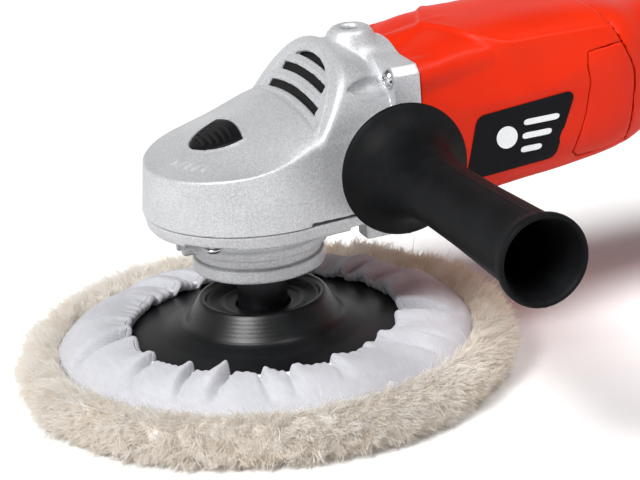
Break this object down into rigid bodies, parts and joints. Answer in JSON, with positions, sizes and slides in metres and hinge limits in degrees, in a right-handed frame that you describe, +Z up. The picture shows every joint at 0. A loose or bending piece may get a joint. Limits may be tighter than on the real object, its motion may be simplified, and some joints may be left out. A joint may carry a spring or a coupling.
{
  "type": "rotary polisher",
  "caption": "Right-angle rotary polisher: cast gear head, motor housing, in-line rear handle, screw-in side handle and a wool bonnet gathered over its backing pad.",
  "frame": {"origin": "on the spindle axis at the polishing face, the underside of the wool", "axes": "+Z up along the spindle, +X back along the motor towards the cord inlet, -Y out along the side handle"},
  "size_m": [0.539, 0.2963, 0.149],
  "materials": {
    "cast_aluminium": "bead-blasted satin",
    "chrome_screw": "bright",
    "black_plastic": "fine texture",
    "bearing_steel": "ground",
    "bronze": "sintered",
    "seal_rubber": "matte",
    "lamination_steel": "stacked laminations",
    "copper": "enamelled wire",
    "orange_shell": "semi-gloss moulded",
    "badge_film": "printed film",
    "brass": "pressed",
    "carbon": "graphite",
    "spring_steel": "drawn",
    "grip_rubber": "satin",
    "circuit_board": "potted board",
    "machined_steel": "turned",
    "gear_steel": "cut and hardened",
    "black_oxide": "black oxide",
    "pad_rubber": "smooth semi-gloss",
    "wool_pile": "dense looped wool",
    "cotton_skirt": "plain-woven cotton, gathered",
    "elastic": "braided"
  },
  "bodies": {
    "machine": {"gear_case": "cast_aluminium", "gear_case_cover": "cast_aluminium", "cover_screws": "chrome_screw", "case_screws": "chrome_screw", "vent_insert": "black_plastic", "lower_bearing_outer": "bearing_steel", "upper_bush": "bronze", "dust_seal": "seal_rubber", "bearing_plate": "cast_aluminium", "rotor_bearing_outers": "bearing_steel", "stator_core": "lamination_steel", "field_coils": "copper", "fan_baffle": "black_plastic", "motor_housing": "orange_shell", "badge_left": "badge_film", "badge_right": "badge_film", "brush_holders": "brass", "carbon_brushes": "carbon", "brush_springs": "spring_steel", "brush_cover_left": "orange_shell", "brush_cover_right": "orange_shell", "rear_handle_left": "orange_shell", "rear_handle_right": "orange_shell", "grip_pad_left": "grip_rubber", "grip_pad_right": "grip_rubber", "handle_screws": "chrome_screw", "switch_body": "black_plastic", "speed_module": "circuit_board", "trigger_pin": "machined_steel", "trigger_spring": "spring_steel", "cord_gland": "seal_rubber", "cord_clamp": "black_plastic", "side_handle_grip": "grip_rubber", "side_handle_stud": "machined_steel", "lock_spring": "spring_steel"},
    "spindle": {"spindle": "machined_steel", "crown_gear": "gear_steel", "gear_circlip": "spring_steel", "lower_bearing_inner": "bearing_steel", "lower_bearing_balls": "bearing_steel", "pad_nut": "black_oxide", "backing_pad": "pad_rubber", "bonnet_pile": "wool_pile", "bonnet_skirt": "cotton_skirt", "bonnet_elastic": "elastic"},
    "rotor": {"armature_shaft": "machined_steel", "armature_core": "lamination_steel", "armature_windings": "copper", "commutator": "copper", "fan": "black_plastic", "pinion": "gear_steel", "pinion_nut": "machined_steel", "rotor_bearing_inners": "bearing_steel", "rotor_bearing_balls": "bearing_steel"},
    "lock_button": {"spindle_lock_button": "black_plastic", "spindle_lock_pin": "machined_steel"},
    "trigger": {"trigger": "black_plastic"},
    "lock_on": {"lock_on_button": "black_plastic"},
    "dial": {"speed_dial": "black_plastic"}
  },
  "joints": [
    {"name": "spindle_spin", "type": "hinge", "parent": "machine", "child": "spindle", "pos_m": [0, 0, 0.06], "axis": [0, 0, 1], "continuous": true},
    {"name": "rotor_spin", "type": "hinge", "parent": "machine", "child": "rotor", "pos_m": [0.1, 0, 0.107], "axis": [1, 0, 0], "continuous": true},
    {"name": "spindle_lock_press", "type": "slide", "parent": "machine", "child": "lock_button", "axis": [0, 0, -1], "range_m": [0, 0.003], "stiffness_N_per_m": 600, "springref_m": -0.004, "deforming": ["lock_spring"]},
    {"name": "trigger_pull", "type": "hinge", "parent": "machine", "child": "trigger", "pos_m": [0.23, 0, 0.091], "axis": [0, -1, 0], "range_deg": [0, 5], "stiffness_Nm_per_rad": 1, "springref_deg": -8.59, "deforming": ["trigger_spring"]},
    {"name": "lock_on_press", "type": "slide", "parent": "machine", "child": "lock_on", "axis": [0, 1, 0], "range_m": [0, 0.0035], "stiffness_N_per_m": 300, "springref_m": -0.003},
    {"name": "speed_dial_turn", "type": "hinge", "parent": "machine", "child": "dial", "pos_m": [0.212, 0, 0.13], "axis": [0, 1, 0], "range_deg": [-135, 135]}
  ],
  "couplings": [
    {"joint": "rotor_spin", "follows": "spindle_spin", "ratio": 4}
  ]
}
